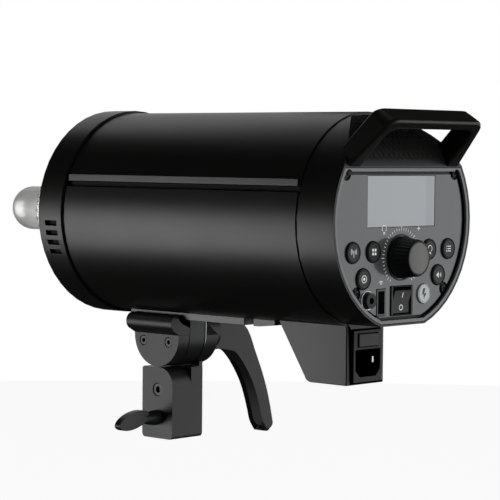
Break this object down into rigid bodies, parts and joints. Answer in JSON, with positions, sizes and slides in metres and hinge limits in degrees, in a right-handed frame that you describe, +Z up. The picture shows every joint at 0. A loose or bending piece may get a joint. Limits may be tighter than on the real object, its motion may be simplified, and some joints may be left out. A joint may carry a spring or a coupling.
{
  "type": "monolight strobe",
  "caption": "Round-bodied studio flash head with a rear control panel, carry handle, modelling lamp, ring flash tube and a tilting stand bracket with a lock lever.",
  "frame": {"origin": "centre of the stand socket's mouth, on the bottom face of the stand block", "axes": "+Z up out of the stand, the lamp shines along -Y, the control panel faces +Y, the tilt lever is on the -X side"},
  "size_m": [0.1558, 0.3643, 0.214],
  "materials": {
    "black_paint": "semi-matt black anodised",
    "black_casting": "fine-textured black casting",
    "black_plastic": "matt black moulding",
    "grey_metal": "dark grey anodised extrusion",
    "steel": "plain",
    "black_steel": "black oxide",
    "nickel": "plated",
    "washer_steel": "ground",
    "brass": "plain",
    "polished_plate": "bright",
    "ceramic": "unglazed ceramic",
    "flash_glass": "clear quartz",
    "frosted_glass": "frosted",
    "panel_gloss": "high gloss acrylic",
    "rim_grey": "light grey",
    "screen_glass": "display window",
    "button_rubber": "matt black",
    "lit_button": "translucent pale button",
    "knob_plastic": "dark grey",
    "circuit_board": "green laminate",
    "capacitor_sleeve": "dark blue sleeve"
  },
  "bodies": {
    "stand": {"stand_block": "black_casting", "socket_bush": "brass", "cross_screw": "black_steel"},
    "thumb": {"thumb_screw": "black_casting"},
    "lever": {"tilt_lever": "black_casting", "lever_nut": "brass"},
    "bracket": {"tilt_bracket": "black_casting", "clamp_jaw": "black_casting", "jaw_screw_front": "black_steel", "jaw_screw_rear": "black_steel", "tilt_bolt": "steel", "friction_washer": "washer_steel"},
    "lamp": {"balance_rail": "grey_metal", "lower_shell": "black_paint", "upper_shell": "black_paint", "side_strip_left": "black_plastic", "side_strip_right": "black_plastic", "front_ring": "black_paint", "bayonet_ring": "steel", "reflector_plate": "polished_plate", "tube_base": "ceramic", "lamp_socket": "ceramic", "modelling_bulb": "frosted_glass", "flash_tube": "flash_glass", "rear_cap": "black_paint", "vent_mesh": "black_plastic", "handle": "black_paint", "panel_plate": "black_plastic", "panel_face": "panel_gloss", "panel_rim": "rim_grey", "lcd_window": "screen_glass", "panel_screw_1": "black_steel", "panel_screw_2": "black_steel", "panel_screw_3": "black_steel", "panel_screw_4": "black_steel", "switch_frame": "button_rubber", "usb_socket": "grey_metal", "sync_socket": "black_plastic", "control_board": "circuit_board", "inlet_box": "black_paint", "inlet_module": "black_plastic", "pin_line": "nickel", "pin_neutral": "nickel", "pin_earth": "nickel", "power_board": "circuit_board", "capacitor_left": "capacitor_sleeve", "capacitor_right": "capacitor_sleeve", "fan_frame": "black_plastic"},
    "knob": {"power_knob": "knob_plastic"},
    "rocker": {"power_rocker": "button_rubber"},
    "fuse": {"fuse_drawer": "button_rubber"},
    "fan": {"fan_rotor": "black_plastic"},
    "latch": {"release_latch": "grey_metal"},
    "button_antenna_body": {"button_antenna": "button_rubber"},
    "button_group_body": {"button_group": "button_rubber"},
    "button_slave_body": {"button_slave": "button_rubber"},
    "button_lamp_body": {"button_lamp": "button_rubber"},
    "button_function_body": {"button_function": "button_rubber"},
    "button_sound_body": {"button_sound": "button_rubber"},
    "test_button_body": {"test_button": "lit_button"}
  },
  "joints": [
    {"name": "tilt", "type": "hinge", "parent": "stand", "child": "bracket", "pos_m": [0, 0, 0.0662], "axis": [1, 0, 0], "range_deg": [-33, 80]},
    {"name": "balance_slide", "type": "slide", "parent": "bracket", "child": "lamp", "axis": [0, 1, 0], "range_m": [-0.05, 0]},
    {"name": "lever_turn", "type": "hinge", "parent": "stand", "child": "lever", "pos_m": [0, 0, 0.0662], "axis": [1, 0, 0], "range_deg": [-60, 20]},
    {"name": "thumb_turn", "type": "hinge", "parent": "stand", "child": "thumb", "pos_m": [0, 0, 0.0134], "axis": [1, 0, 0], "range_deg": [0, 540]},
    {"name": "knob_turn", "type": "hinge", "parent": "lamp", "child": "knob", "pos_m": [0, 0.1869, 0.1233], "axis": [0, 1, 0], "continuous": true},
    {"name": "rocker_flip", "type": "hinge", "parent": "lamp", "child": "rocker", "pos_m": [-0.0005, 0.1824, 0.0982], "axis": [1, 0, 0], "range_deg": [0, 17.18]},
    {"name": "fuse_pull", "type": "slide", "parent": "lamp", "child": "fuse", "axis": [0, 1, 0], "range_m": [0, 0.012]},
    {"name": "fan_spin", "type": "hinge", "parent": "lamp", "child": "fan", "pos_m": [0, 0.134, 0.144], "axis": [0, 1, 0], "continuous": true},
    {"name": "latch_slide", "type": "slide", "parent": "lamp", "child": "latch", "axis": [0, 1, 0], "range_m": [0, 0.004], "stiffness_N_per_m": 300},
    {"name": "button_antenna_press", "type": "slide", "parent": "lamp", "child": "button_antenna_body", "axis": [0, 1, 0], "range_m": [-0.0008, 0], "stiffness_N_per_m": 900},
    {"name": "button_group_press", "type": "slide", "parent": "lamp", "child": "button_group_body", "axis": [0, 1, 0], "range_m": [-0.0008, 0], "stiffness_N_per_m": 900},
    {"name": "button_slave_press", "type": "slide", "parent": "lamp", "child": "button_slave_body", "axis": [0, 1, 0], "range_m": [-0.0008, 0], "stiffness_N_per_m": 900},
    {"name": "button_lamp_press", "type": "slide", "parent": "lamp", "child": "button_lamp_body", "axis": [0, 1, 0], "range_m": [-0.0008, 0], "stiffness_N_per_m": 900},
    {"name": "button_function_press", "type": "slide", "parent": "lamp", "child": "button_function_body", "axis": [0, 1, 0], "range_m": [-0.0008, 0], "stiffness_N_per_m": 900},
    {"name": "button_sound_press", "type": "slide", "parent": "lamp", "child": "button_sound_body", "axis": [0, 1, 0], "range_m": [-0.0008, 0], "stiffness_N_per_m": 900},
    {"name": "test_button_press", "type": "slide", "parent": "lamp", "child": "test_button_body", "axis": [0, 1, 0], "range_m": [-0.0008, 0], "stiffness_N_per_m": 900}
  ]
}
